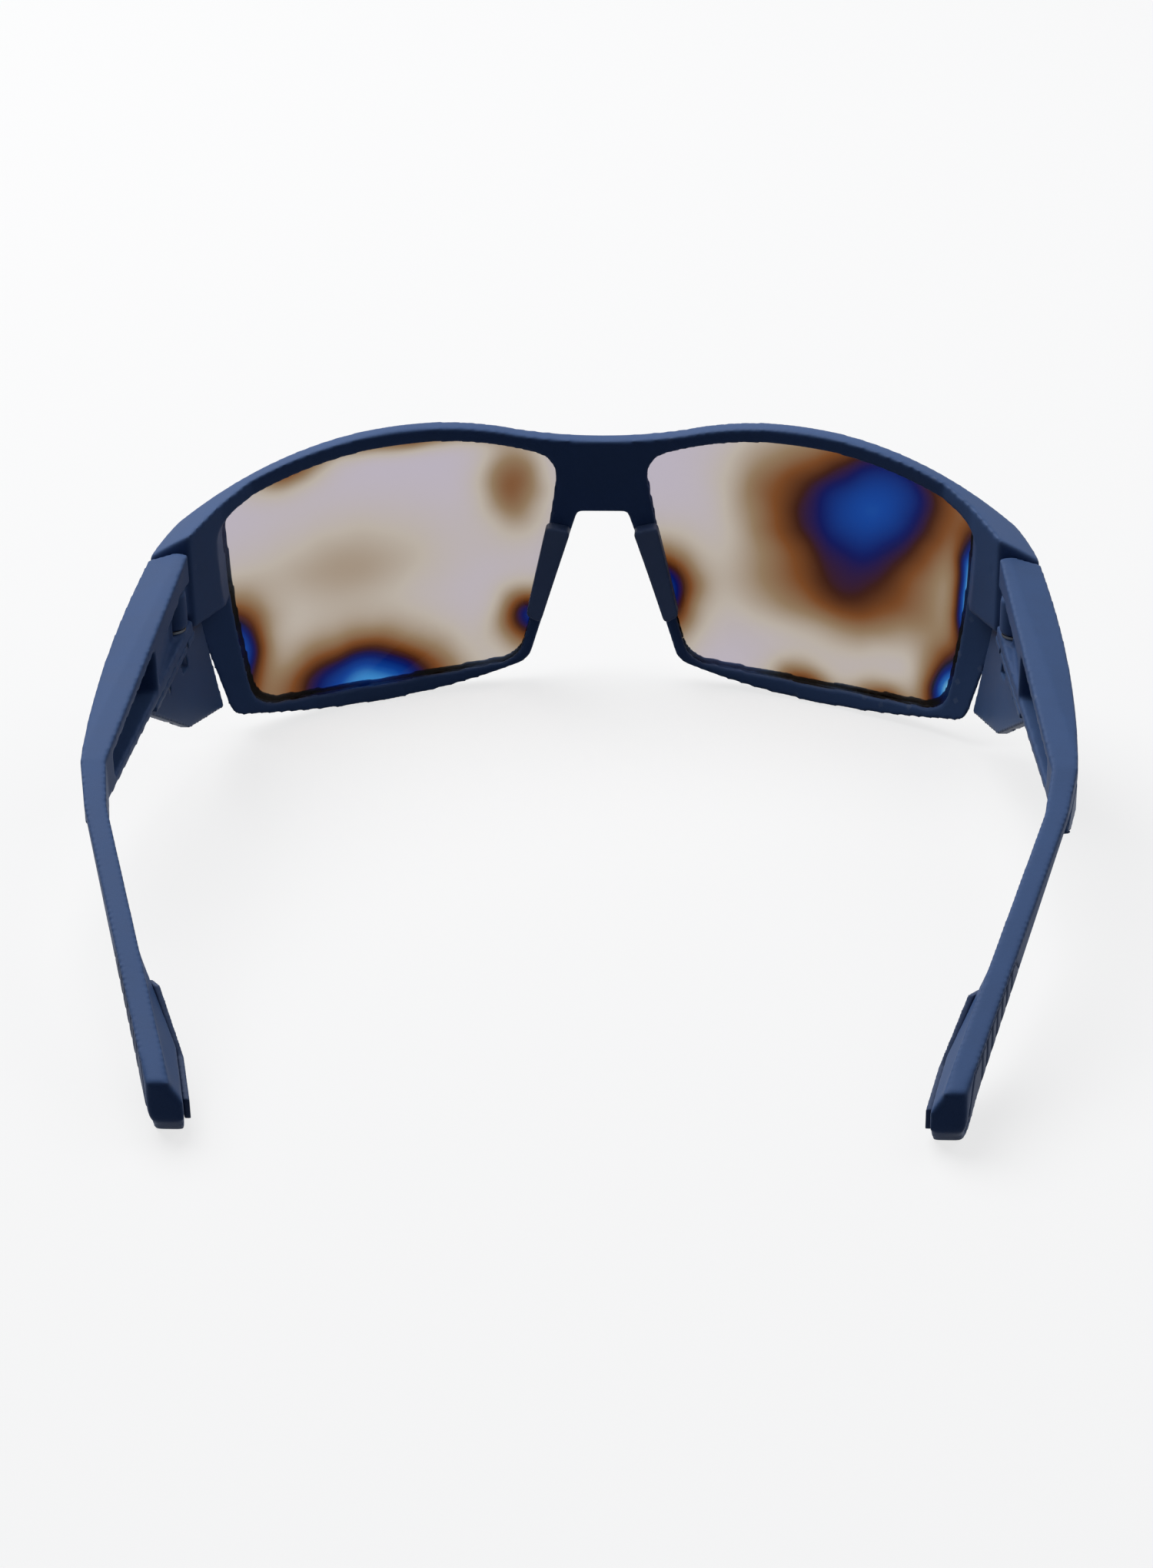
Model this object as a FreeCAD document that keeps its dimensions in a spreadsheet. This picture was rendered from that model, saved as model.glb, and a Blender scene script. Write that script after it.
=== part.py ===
import FreeCAD
import Part
import Sketcher
import os
from FreeCAD import Placement, Rotation, Vector

# Wraparound sport sunglasses, in millimetres, standing as they rest on a table with the arms open.
# +X is the wearer's left, +Y runs back to the ears and +Z is up.
# Every piece is drawn with the foremost point of the bridge at y = 0 and then moved forward by
# half the depth, so the origin ends up on the table under the middle of the part.
# Only the left pieces are drawn. The right ones are their mirror images.

SIZES = [
    # wrap of the front
    ("wrap_radius", 95.0),
    ("wrap_height", 28.0),
    ("shell_depth", 3.4),
    # front view of the frame, right-hand half as seen by the wearer on the left
    ("brow_mid", 43.1),
    ("brow_dip", 14.0),
    ("brow_rise", 44.7),
    ("brow_crown", 34.0),
    ("brow_top", 47.5),
    ("brow_end", 71.6),
    ("brow_end_height", 35.9),
    ("block_bottom", 24.3),
    ("side_step", 66.4),
    ("side_low", 60.6),
    ("side_low_height", 4.3),
    ("rim_low", 37.0),
    ("rim_low_height", 0.3),
    ("nose_foot", 12.8),
    ("nose_foot_height", 4.2),
    ("nose_shoulder", 4.2),
    ("nose_top", 30.0),
    ("rim_corner", 5.0),
    # lens opening
    ("eye_nose_top", 7.3),
    ("eye_nose_top_height", 39.7),
    ("eye_out_top", 60.8),
    ("eye_out_top_height", 38.8),
    ("eye_out_low", 57.2),
    ("eye_out_low_height", 4.4),
    ("eye_nose_low", 14.6),
    ("eye_nose_low_height", 4.4),
    ("eye_top", 44.8),
    ("eye_low", 3.0),
    ("eye_nose_side", 10.2),
    ("eye_out_side", 60.2),
    ("eye_mid", 22.0),
    ("eye_corner", 4.6),
    ("lens_thickness", 1.6),
    ("lens_setback", 0.8),
    ("lens_bite", 1.2),
    ("fit_gap", 0.05),
    # narrow slot in the inner side of each end piece
    ("mark_low", 29.3),
    ("mark_high", 35.2),
    ("mark_setback", 2.1),
    ("mark_width", 0.5),
    ("mark_flag", 1.4),
    ("mark_cover", 0.2),
    # hinge
    ("seam", 39.3),
    ("seam_gap", 0.3),
    ("seam_inner", 64.1),
    ("seam_outer", 70.7),
    ("hinge_across", 66.9),
    ("hinge_back", 44.2),
    ("hinge_low", 26.2),
    ("hinge_height", 6.6),
    ("tongue_radius", 2.6),
    ("tongue_width", 3.4),
    ("knuckle_clearance", 0.6),
    ("washer_thickness", 0.4),
    ("washer_radius", 2.2),
    ("tongue_play", 0.1),
    ("screw_radius", 0.9),
    ("screw_head_radius", 1.7),
    ("screw_head_height", 1.0),
    ("insert_radius", 1.5),
    ("insert_height", 1.9),
    ("running_gap", 0.05),
    # temple
    ("front_top", 37.9),
    ("front_bottom", 24.1),
    ("bulge", 73.4),
    ("bulge_back", 69.0),
    ("kink_back", 92.0),
    ("kink_outer", 72.8),
    ("kink_inner", 69.0),
    ("kink_top", 27.0),
    ("kink_bottom", 20.2),
    ("arm_back", 101.0),
    ("arm_outer", 70.8),
    ("arm_thickness", 3.3),
    ("tip_back", 152.5),
    ("tip_outer", 54.3),
    ("tip_height", 9.4),
    ("tip_round", 3.0),
    ("arm_low_back", 125.0),
    ("arm_low", 10.6),
    ("arm_shoulder", 1.6),
    ("undercut", 2.2),
    ("undercut_drop", 7.0),
    ("undercut_fade", 1.3),
    ("swell", 2.6),
    ("swell_start", 128.0),
    ("swell_back", 140.5),
    ("swell_end", 1.6),
    ("swell_bevel", 0.8),
    ("ridge_inner", 65.6),
    ("ridge_drop", 1.5),
    ("wall", 1.7),
    ("top_wall", 2.0),
    ("rib", 2.1),
    ("pocket_split", 61.5),
    ("pocket_split_width", 1.2),
    ("pocket_end", 88.0),
    ("label_depth", 2.6),
    # side shield
    ("panel_thickness", 0.7),
    ("panel_front_height", 31.5),
    ("panel_end", 100.5),
    ("shelf_thickness", 1.2),
    ("shield_thickness", 1.7),
    ("shield_front", 32.3),
    ("shield_front_height", 6.9),
    ("shield_corner", 48.4),
    ("shield_corner_height", 10.9),
    ("shield_back", 64.0),
    ("shield_across", 64.6),
    ("shield_round", 2.0),
    ("stud_radius", 0.7),
    ("stud_head_radius", 1.3),
    ("stud_head_height", 0.6),
    ("stud_back", 52.5),
    ("stud_across", 67.8),
    ("stud_depth", 1.5),
    # nose pads
    ("pad_thickness", 3.0),
    ("pad_low", 11.5),
    ("pad_high", 27.5),
    ("pad_width_low", 2.6),
    ("pad_width_high", 4.3),
    ("pad_round", 0.8),
    # tip pads
    ("grip_start", 130.0),
    ("grip_end", 149.5),
    ("grip_thickness", 0.9),
    ("grip_margin", 1.4),
    ("outer_pad_start", 126.5),
    ("outer_pad_end", 150.5),
    ("outer_pad_thickness", 0.9),
    ("groove_pitch", 2.4),
    ("groove_width", 0.7),
    ("groove_depth", 0.4),
]


class Dim:
    """A length together with the sheet expression that gives it."""

    def __init__(self, value, text):
        self.value = float(value)
        self.text = text

    def _join(self, other, sign, swap=False):
        if not isinstance(other, Dim):
            other = Dim(other, "%.6f mm" % other)
        left, right = (other, self) if swap else (self, other)
        total = left.value + right.value if sign == "+" else left.value - right.value
        return Dim(total, "(%s %s %s)" % (left.text, sign, right.text))

    def __add__(self, other):
        return self._join(other, "+")

    def __radd__(self, other):
        return self._join(other, "+", True)

    def __sub__(self, other):
        return self._join(other, "-")

    def __rsub__(self, other):
        return self._join(other, "-", True)

    def __mul__(self, number):
        return Dim(self.value * number, "(%s * %.9f)" % (self.text, number))

    __rmul__ = __mul__


def between(first, second, share):
    """The size a given share of the way from the first to the second."""
    return first * (1.0 - share) + second * share


class Sizes:
    """Reads the sheet's named cells as sizes in millimetres."""

    def __init__(self, doc):
        self.sheet = doc.addObject("Spreadsheet::Sheet", "Sizes")
        for row, (alias, value) in enumerate(SIZES, start=1):
            self.sheet.set("A%d" % row, alias)
            self.sheet.set("B%d" % row, "%g" % value)
            self.sheet.setAlias("B%d" % row, alias)
        doc.recompute()

    def __getattr__(self, alias):
        return Dim(getattr(self.sheet, alias), "Sizes.%s * 1 mm" % alias)


PLANES = {
    "plan": Rotation(),
    "front": Rotation(Vector(1, 0, 0), 90),
    "side": Rotation(Vector(1, 1, 1), 120),
}


def bind(obj, **properties):
    """Bind properties to sheet expressions. A double underscore stands for a dot."""
    for name, dim in properties.items():
        obj.setExpression(name.replace("__", "."), dim.text)


def pin_point(sketch, geometry, end, point):
    """Hold one sketch point at a pair of sizes."""
    for kind, axis, dim in (("DistanceX", -2, point[0]), ("DistanceY", -1, point[1])):
        if not isinstance(dim, Dim) and dim == 0:
            sketch.addConstraint(Sketcher.Constraint("PointOnObject", geometry, end, axis))
            continue
        value = dim.value if isinstance(dim, Dim) else dim
        index = sketch.addConstraint(Sketcher.Constraint(kind, -1, 1, geometry, end, value))
        if isinstance(dim, Dim):
            sketch.setExpression("Constraints[%d]" % index, dim.text)


def number(dim):
    return dim.value if isinstance(dim, Dim) else float(dim)


def outline(doc, name, plane, start, steps):
    """A closed sketch. Each step is (end,) for a line or (through, end) for an arc."""
    sketch = doc.addObject("Sketcher::SketchObject", name)
    sketch.Placement = Placement(Vector(), PLANES[plane])
    at = start
    count = 0
    first = 0
    for step in steps:
        a = Vector(number(at[0]), number(at[1]), 0)
        b = Vector(number(step[-1][0]), number(step[-1][1]), 0)
        if len(step) == 1:
            line = sketch.addGeometry(Part.LineSegment(a, b), False)
            begin, finish = 1, 2
        else:
            through = Vector(number(step[0][0]), number(step[0][1]), 0)
            arc = Part.ArcOfCircle(a, through, b)
            circle = Part.Circle(arc.Center, Vector(0, 0, 1), arc.Radius)
            clockwise = (through - a).cross(b - through).z < 0
            u, v = (b, a) if clockwise else (a, b)
            curve = Part.ArcOfCircle(circle, circle.parameter(u), circle.parameter(v))
            line = sketch.addGeometry(curve, False)
            begin, finish = (2, 1) if clockwise else (1, 2)
            point = sketch.addGeometry(Part.Point(through), True)
            sketch.addConstraint(Sketcher.Constraint("PointOnObject", point, 1, line))
            pin_point(sketch, point, 1, step[0])
        pin_point(sketch, line, begin, at)
        if count:
            sketch.addConstraint(Sketcher.Constraint("Coincident", last[0], last[1], line, begin))
        else:
            first = (line, begin)
        last = (line, finish)
        at = step[-1]
        count += 1
    sketch.addConstraint(Sketcher.Constraint("Coincident", last[0], last[1], first[0], first[1]))
    return sketch


def extrude(doc, name, base, forward, back=0.0, direction=None):
    """Extrude an outline along its normal, or along a given vector."""
    solid = doc.addObject("Part::Extrusion", name)
    solid.Base = base
    solid.Solid = True
    solid.FaceMakerClass = "Part::FaceMakerBullseye"
    if direction is not None:
        solid.DirMode = "Custom"
        solid.Dir = direction
    else:
        solid.DirMode = "Custom"
        solid.Dir = PLANES[plane_of(base)].multVec(Vector(0, 0, 1))
    for prop, dim in (("LengthFwd", forward), ("LengthRev", back)):
        setattr(solid, prop, number(dim))
        if isinstance(dim, Dim):
            solid.setExpression(prop, dim.text)
    return solid


def plane_of(base):
    while hasattr(base, "Source"):
        base = base.Source
    for name, rotation in PLANES.items():
        if base.Placement.Rotation.isSame(rotation, 1e-6):
            return name
    raise ValueError(base.Name)


def offset(doc, name, base, distance):
    ring = doc.addObject("Part::Offset2D", name)
    ring.Source = base
    ring.Value = number(distance)
    ring.Join = 0
    ring.setExpression("Value", distance.text)
    return ring


def rounded(doc, name, base, radius, grow=None):
    """Round an outline's outer corners, and make it larger all round if asked."""
    inner = offset(doc, name + "Core", base, radius * -1.0)
    doc.recompute()
    return offset(doc, name, inner, radius if grow is None else radius + grow)


def combine(doc, kind, name, first, *others):
    if kind == "Part::Cut":
        result = first
        for count, other in enumerate(others, start=1):
            last = count == len(others)
            cut = doc.addObject(kind, name if last else "%sCut%d" % (name, count))
            cut.Base = result
            cut.Tool = other
            result = cut
        return result
    if kind == "Part::Common":
        result = doc.addObject(kind, name)
        result.Base = first
        result.Tool = others[0]
        return result
    result = doc.addObject("Part::MultiFuse", name)
    result.Shapes = [first] + list(others)
    result.Refine = True
    return result


def cylinder(doc, name, radius, height, x, y, z):
    rod = doc.addObject("Part::Cylinder", name)
    bind(rod, Radius=radius, Height=height)
    bind(rod, Placement__Base__x=x, Placement__Base__y=y, Placement__Base__z=z)
    return rod


def box(doc, name, low, high):
    """A box between two corners."""
    block = doc.addObject("Part::Box", name)
    for prop, axis, start, end in zip(("Length", "Width", "Height"), "xyz", low, high):
        size = end - start
        setattr(block, prop, number(size))
        if isinstance(size, Dim):
            block.setExpression(prop, size.text)
        if isinstance(start, Dim):
            block.setExpression("Placement.Base.%s" % axis, start.text)
        else:
            base = block.Placement.Base
            setattr(base, axis, float(start))
            block.Placement.Base = base
    return block


def shell(doc, name, size, outer, inner):
    """The space between two spheres about the centre of the wrap."""
    balls = []
    for part, radius in (("Outer", outer), ("Inner", inner)):
        ball = doc.addObject("Part::Sphere", name + part)
        bind(ball, Radius=radius)
        bind(ball, Placement__Base__y=size.wrap_radius, Placement__Base__z=size.wrap_height)
        balls.append(ball)
    return combine(doc, "Part::Cut", name, balls[0], balls[1])


def eye_outline(doc, size, name):
    s = size
    mid = between(s.eye_nose_top, s.eye_out_top, 0.5)
    low = between(s.eye_nose_low, s.eye_out_low, 0.5)
    return outline(doc, name, "front", (s.eye_nose_low, s.eye_nose_low_height), [
        ((low, s.eye_low), (s.eye_out_low, s.eye_out_low_height)),
        ((s.eye_out_side, s.eye_mid), (s.eye_out_top, s.eye_out_top_height)),
        ((mid, s.eye_top), (s.eye_nose_top, s.eye_nose_top_height)),
        ((s.eye_nose_side, s.eye_mid), (s.eye_nose_low, s.eye_nose_low_height)),
    ])


def make_lens(doc, size):
    s = size
    edge = rounded(doc, "LensEdge", eye_outline(doc, s, "LensOutline"), s.eye_corner, s.lens_bite)
    front = s.wrap_radius - s.lens_setback
    curve = shell(doc, "LensShell", s, front, front - s.lens_thickness)
    return combine(doc, "Part::Common", "LensLeft", extrude(doc, "LensBlank", edge, 2, 60), curve)


def frame_outline(doc, size):
    s = size
    return outline(doc, "FrameOutline", "front", (-8, s.brow_mid), [
        ((0, s.brow_mid),),
        ((s.brow_dip * 0.55, between(s.brow_mid, s.brow_rise, 0.3)), (s.brow_dip, s.brow_rise)),
        ((s.brow_crown, s.brow_top), (s.brow_end, s.brow_end_height)),
        ((s.brow_end, s.block_bottom),),
        ((s.side_step, s.block_bottom),),
        ((s.side_low, s.side_low_height),),
        ((s.rim_low, s.rim_low_height), (s.nose_foot, s.nose_foot_height)),
        ((s.nose_shoulder, s.nose_top),),
        ((-8, s.nose_top),),
        ((-8, s.brow_mid),),
    ])


def make_end_block(doc, size, plate):
    """The end piece that carries the brow back to the seam."""
    s = size
    plan = outline(doc, "BlockPlan", "plan", (56, 18), [
        ((s.seam_outer - 4.0, 18),),
        ((s.seam_outer - 4.0, s.seam - 12.0),),
        ((s.seam_outer - 1.4, s.seam - 6.0), (s.seam_outer, s.seam)),
        ((s.seam_inner, s.seam),),
        ((s.seam_inner - 4.0, s.seam - 9.0),),
        ((56, 24.0),),
        ((56, 18),),
    ])
    prism = extrude(doc, "BlockPrism", plan, 60)
    plan.setExpression("Placement.Base.z", s.block_bottom.text)
    ball = doc.addObject("Part::Sphere", "BlockBall")
    bind(ball, Radius=s.wrap_radius)
    bind(ball, Placement__Base__y=s.wrap_radius, Placement__Base__z=s.wrap_height)
    within = combine(doc, "Part::Common", "BlockInside", prism, ball)
    return combine(doc, "Part::Common", "EndBlock", within, plate)


def make_tongue(doc, size):
    s = size
    low = s.hinge_low + s.washer_thickness + s.tongue_play
    high = s.hinge_low + s.hinge_height - s.tongue_play
    half = s.tongue_width * 0.5
    bar = box(doc, "TongueBar", (s.hinge_across - half, s.seam - 2.0, low),
              (s.hinge_across + half, s.hinge_back, high))
    eye = cylinder(doc, "TongueEye", s.tongue_radius, high - low, s.hinge_across, s.hinge_back, low)
    return combine(doc, "Part::Fuse", "Tongue", bar, eye)


def make_frame(doc, size):
    s = size
    rim = rounded(doc, "FrameEdge", frame_outline(doc, s), s.rim_corner * 0.7)
    side = box(doc, "LeftSide", (0, -5.0, -5.0), (90, 60.0, 60.0))
    blank = extrude(doc, "FrameBlank", rim, 2, 45)
    plate = combine(doc, "Part::Common", "HalfPlate", blank, side)
    full = combine(doc, "Part::Common", "FullBowl", blank,
                   shell(doc, "FrameShell", s, s.wrap_radius, s.wrap_radius - s.shell_depth))
    bowl = combine(doc, "Part::Common", "Bowl", full, side)
    block = make_end_block(doc, s, plate)
    tongue = make_tongue(doc, s)
    body = combine(doc, "Part::Fuse", "HalfBody", bowl, block, tongue)
    # the shell stops where the end piece's outer side begins
    cheek = outline(doc, "CheekPlan", "plan", (s.seam_outer - 4.0, 15), [
        ((s.seam_outer - 4.0, s.seam - 12.0),),
        ((s.seam_outer - 1.4, s.seam - 6.0), (s.seam_outer, s.seam)),
        ((s.seam_outer, s.seam + 8.0),),
        ((90, s.seam + 8.0),),
        ((90, 15),),
        ((s.seam_outer - 4.0, 15),),
    ])
    trim = extrude(doc, "CheekTrim", cheek, 60)
    opening = rounded(doc, "EyeEdge", eye_outline(doc, s, "EyeOutline"), s.eye_corner)
    window = extrude(doc, "EyeWindow", opening, 2, 38)
    groove_edge = rounded(doc, "GrooveEdge", eye_outline(doc, s, "GrooveOutline"), s.eye_corner,
                          s.lens_bite + s.fit_gap)
    front = s.wrap_radius - s.lens_setback + s.fit_gap
    groove = combine(doc, "Part::Common", "Groove", extrude(doc, "GrooveBlank", groove_edge, 2, 60),
                     shell(doc, "GrooveShell", s, front, front - s.lens_thickness - s.fit_gap * 2.0))
    bore = cylinder(doc, "TongueBore", s.screw_radius + s.running_gap, Dim(20, "20 mm"),
                    s.hinge_across, s.hinge_back, s.hinge_low - 5.0)
    slot_back = s.seam - s.mark_setback
    stroke = box(doc, "MarkStroke", (s.seam_inner - 4.0, slot_back, s.mark_low),
                 (s.seam_inner - s.mark_cover, slot_back + s.mark_width, s.mark_high))
    flag = box(doc, "MarkFlag", (s.seam_inner - 4.0, slot_back, s.mark_high - 1.0),
               (s.seam_inner - s.mark_cover, slot_back + s.mark_flag, s.mark_high - 0.5))
    half = combine(doc, "Part::Cut", "FrameHalf", body, trim, window, groove, bore, stroke, flag)
    other = mirror(doc, "FrameOtherHalf", half)
    return combine(doc, "Part::Fuse", "FrontFrame", half, other)


def mirror(doc, name, source):
    twin = doc.addObject("Part::Mirroring", name)
    twin.Source = source
    twin.Normal = (1, 0, 0)
    twin.Base = (0, 0, 0)
    return twin


def temple_plan(doc, name, size, near, far):
    """Plan of the arm between two offsets from its outer side, both measured outwards."""
    s = size
    front = s.seam + s.seam_gap
    if near is None:
        inner = [
            ((s.tip_outer - s.arm_thickness, s.tip_back),),
            ((s.arm_outer - s.arm_thickness, s.arm_back),),
            ((s.kink_inner, s.kink_back),),
            ((s.seam_inner, front),),
            ((s.seam_outer + far, front),),
        ]
    else:
        inner = [
            ((s.tip_outer + near, s.tip_back),),
            ((s.arm_outer + near, s.arm_back),),
            ((s.kink_outer + near, s.kink_back),),
            ((s.bulge + near, s.bulge_back), (s.seam_outer + near, front)),
            ((s.seam_outer + far, front),),
        ]
    return outline(doc, name, "plan", (s.seam_outer + far, front), [
        ((s.bulge + far, s.bulge_back), (s.kink_outer + far, s.kink_back)),
        ((s.arm_outer + far, s.arm_back),),
        ((s.tip_outer + far, s.tip_back),),
    ] + inner)


def top_at(size, share):
    return between(size.front_top, size.kink_top, share)


def bottom_at(size, share):
    return between(size.front_bottom, size.kink_bottom, share)


def make_temple_blank(doc, size):
    s = size
    plan = temple_plan(doc, "ArmPlan", s, None, s.fit_gap * 0.0)
    side = outline(doc, "ArmSide", "side", (s.seam, s.front_top), [
        ((s.kink_back, s.kink_top),),
        ((s.tip_back, s.tip_height),),
        ((s.tip_back - 0.6, s.tip_round),),
        ((s.tip_back - s.tip_round, 0),),
        ((s.tip_back - s.tip_round - 3.0, 0),),
        ((s.arm_low_back, s.arm_low),),
        ((s.kink_back + 6.0, s.kink_bottom - 1.8),),
        ((s.kink_back, s.kink_bottom),),
        ((s.seam, s.front_bottom),),
        ((s.seam, s.front_top),),
    ])
    ridge = outline(doc, "Ridge", "front", (s.ridge_inner, s.front_top), [
        ((s.seam_outer + 1.5, s.front_top - s.ridge_drop * 1.3),),
        ((s.seam_outer + 1.5, s.front_top + 8.0),),
        ((s.ridge_inner, s.front_top + 8.0),),
        ((s.ridge_inner, s.front_top),),
    ])
    ridge.setExpression("Placement.Base.y", (s.seam - 0.0).text)
    depth = extrude(doc, "ArmSideBlank", side, 90)
    arm = combine(doc, "Part::Common", "ArmBar", extrude(doc, "ArmPlanBlank", plan, 60), depth)
    swell = combine(doc, "Part::Common", "Swell", make_swell(doc, s), depth)
    return combine(doc, "Part::Fuse", "ArmBlank", arm, swell), ridge


def arm_run(size, fade=0.0):
    """Vector along the rear arm's outer top edge, ending a given distance further out."""
    s = size
    top = arm_heights(s, s.arm_back)[1]
    return Vector(number(s.tip_outer) + fade - number(s.arm_outer),
                  number(s.tip_back) - number(s.arm_back), number(s.tip_height) - number(top))


def swell_at(size, back):
    """How far the tip swells inwards at a distance back."""
    s = size
    if number(back) < number(s.swell_back):
        share = (number(back) - number(s.swell_start)) / (number(s.swell_back) - number(s.swell_start))
        return s.swell * share
    share = (number(back) - number(s.swell_back)) / (number(s.tip_back) - number(s.swell_back))
    return between(s.swell, s.swell_end, share)


def make_swell(doc, size):
    """The thicker inner side of the tip, bevelled towards the top face."""
    s = size
    inner = s.arm_thickness * -1.0
    plan = outline(doc, "SwellPlan", "plan", (arm_line(s, s.swell_start) + inner + 1.0, s.swell_start), [
        ((arm_line(s, s.tip_back) + inner + 1.0, s.tip_back),),
        ((arm_line(s, s.tip_back) + inner - s.swell_end, s.tip_back),),
        ((arm_line(s, s.swell_back) + inner - s.swell, s.swell_back),),
        ((arm_line(s, s.swell_start) + inner, s.swell_start),),
        ((arm_line(s, s.swell_start) + inner + 1.0, s.swell_start),),
    ])
    edge = s.arm_outer + inner
    top = arm_heights(s, s.arm_back)[1] - s.swell_bevel
    bevel = outline(doc, "SwellBevel", "front", (edge + 2.0, top), [
        ((edge, top),),
        ((edge - 6.0, top - 10.0),),
        ((edge - 6.0, top - 50.0),),
        ((edge + 2.0, top - 50.0),),
        ((edge + 2.0, top),),
    ])
    bevel.setExpression("Placement.Base.y", s.arm_back.text)
    run = arm_run(s)
    return combine(doc, "Part::Common", "SwellBody", extrude(doc, "SwellPlanBlank", plan, 60),
                   extrude(doc, "SwellBevelBlank", bevel, run.Length * 1.1, 0.0, run))


def make_undercut(doc, name, size, depth):
    """Cuts the rear arm's outer side back below its shoulder, moved inwards by a depth."""
    s = size
    edge = s.arm_outer - depth
    top = arm_heights(s, s.arm_back)[1] - s.arm_shoulder
    face = outline(doc, name + "Face", "front", (edge, top), [
        ((edge - s.undercut, top - s.undercut_drop),),
        ((edge - s.undercut, top - 50.0),),
        ((edge + 9.0, top - 50.0),),
        ((edge + 9.0, top),),
        ((edge, top),),
    ])
    face.setExpression("Placement.Base.y", s.arm_back.text)
    run = arm_run(s, number(s.undercut_fade))
    return extrude(doc, name, face, run.Length * 1.1, 4.0, run)


def make_core(doc, name, size, depth):
    """The rear arm without an outer layer of a given depth."""
    s = size
    strip = tip_strip(doc, name + "Plan", s, s.outer_pad_start - 8.0, s.tip_back + 4.0, -9.0, depth * -1.0)
    return combine(doc, "Part::Cut", name, extrude(doc, name + "Blank", strip, 60),
                   make_undercut(doc, name + "Under", s, depth))


def pocket_outline(doc, name, size, start, end, roof, floor):
    """Side view of a pocket that follows the arm's top and bottom edges."""
    s = size
    length = number(s.kink_back) - number(s.seam)
    a = (number(start) - number(s.seam)) / length
    b = (number(end) - number(s.seam)) / length
    return outline(doc, name, "side", (start, bottom_at(s, a) + floor), [
        ((end, bottom_at(s, b) + floor),),
        ((end, top_at(s, b) - roof),),
        ((start, top_at(s, a) - roof),),
        ((start, bottom_at(s, a) + floor),),
    ])


def make_temple(doc, size):
    s = size
    blank, ridge = make_temple_blank(doc, s)
    run = Vector(number(s.kink_outer) + 0.4 - number(s.ridge_inner),
                 number(s.kink_back) - number(s.seam),
                 number(s.kink_top) - number(s.front_top))
    bevel = extrude(doc, "RidgeCut", ridge, run.Length, 0.0, run)
    # the hinge pocket is open to the front and to the inner side
    sweep = s.tongue_radius + s.knuckle_clearance
    low = s.hinge_low
    well = cylinder(doc, "HingeWell", sweep, s.hinge_height, s.hinge_across, s.hinge_back, low)
    mouth = box(doc, "HingeMouth", (55, s.seam - 1.0, low),
                (s.hinge_across + sweep, s.hinge_back, low + s.hinge_height))
    inside = box(doc, "HingeInside", (55, s.hinge_back - 1.0, low),
                 (s.hinge_across, s.hinge_back + sweep, low + s.hinge_height))
    floor = s.seam_inner + s.label_depth
    front = s.hinge_back - 1.2
    label_plan = outline(doc, "LabelPlan", "plan", (50, front), [
        ((s.seam_inner - 1.0, front),),
        ((floor, s.hinge_back + 4.0),),
        ((floor, s.pocket_split),),
        ((50, s.pocket_split),),
        ((50, front),),
    ])
    label = combine(doc, "Part::Common", "LabelPocket", extrude(doc, "LabelPlanBlank", label_plan, 60),
                    extrude(doc, "LabelSideBlank", pocket_outline(doc, "LabelSide", s, front,
                            s.pocket_split, s.top_wall * 2.0, s.rib), 90))
    label_back = s.pocket_split + s.pocket_split_width
    length = number(s.kink_back) - number(s.seam)
    plan = outline(doc, "SlotPlan", "plan", (50, label_back), [
        ((s.bulge - s.wall - 0.4, label_back),),
        ((s.kink_outer - s.wall, s.pocket_end),),
        ((50, s.pocket_end),),
        ((50, label_back),),
    ])
    slot = combine(doc, "Part::Common", "SlotPocket", extrude(doc, "SlotPlanBlank", plan, 60),
                   extrude(doc, "SlotSideBlank", pocket_outline(doc, "SlotSide", s, label_back,
                           s.pocket_end, s.top_wall, s.rib * 0.8), 90))
    # the inner front corner is rounded about the hinge so that the arm can swing
    corner = box(doc, "NoseCorner", (s.seam_inner - 3.0, s.seam - 1.0, -1.0),
                 (s.hinge_across, s.hinge_back, 60.0))
    turn = cylinder(doc, "NoseTurn", s.hinge_back - s.seam - s.seam_gap, Dim(80, "80 mm"),
                    s.hinge_across, s.hinge_back, Dim(-2, "-2 mm"))
    relief = combine(doc, "Part::Cut", "NoseRelief", corner, turn)
    shaft = cylinder(doc, "ShaftHole", s.screw_radius + s.running_gap, s.hinge_height + 6.0,
                     s.hinge_across, s.hinge_back, s.hinge_low - 4.0)
    head = cylinder(doc, "HeadHole", s.screw_head_radius + s.fit_gap, s.screw_head_height + 6.0,
                    s.hinge_across, s.hinge_back, head_seat(s) - s.screw_head_height - 6.0)
    nest = cylinder(doc, "InsertHole", s.insert_radius + s.fit_gap, s.insert_height + s.fit_gap,
                    s.hinge_across, s.hinge_back, s.hinge_low + s.hinge_height)
    stud = cylinder(doc, "StudHole", s.stud_radius + s.fit_gap, s.stud_depth + 1.0,
                    s.stud_across, s.stud_back, stud_seat(s) - 0.5)
    under = make_undercut(doc, "Undercut", s, Dim(0, "0 mm"))
    pad = outer_layer(doc, "PadNest", s, s.outer_pad_thickness + s.fit_gap, 3.0, s.fit_gap)
    plan = temple_plan(doc, "RecessPlan", s, (s.panel_thickness + s.fit_gap) * -1.0, Dim(2, "2 mm"))
    recess = combine(doc, "Part::Common", "BandRecess", extrude(doc, "RecessPlanBlank", plan, 60),
                     extrude(doc, "RecessSideBlank",
                             offset(doc, "RecessSide", band_outline(doc, "RecessOutline", s), s.fit_gap), 90))
    return combine(doc, "Part::Cut", "TempleLeft", blank, bevel, well, mouth, inside, label, slot,
                   relief, shaft, head, nest, stud, under, pad, recess)


def head_seat(size):
    """Height of the seat under the screw head, inside the lower cheek."""
    return size.hinge_low - 1.0


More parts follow.
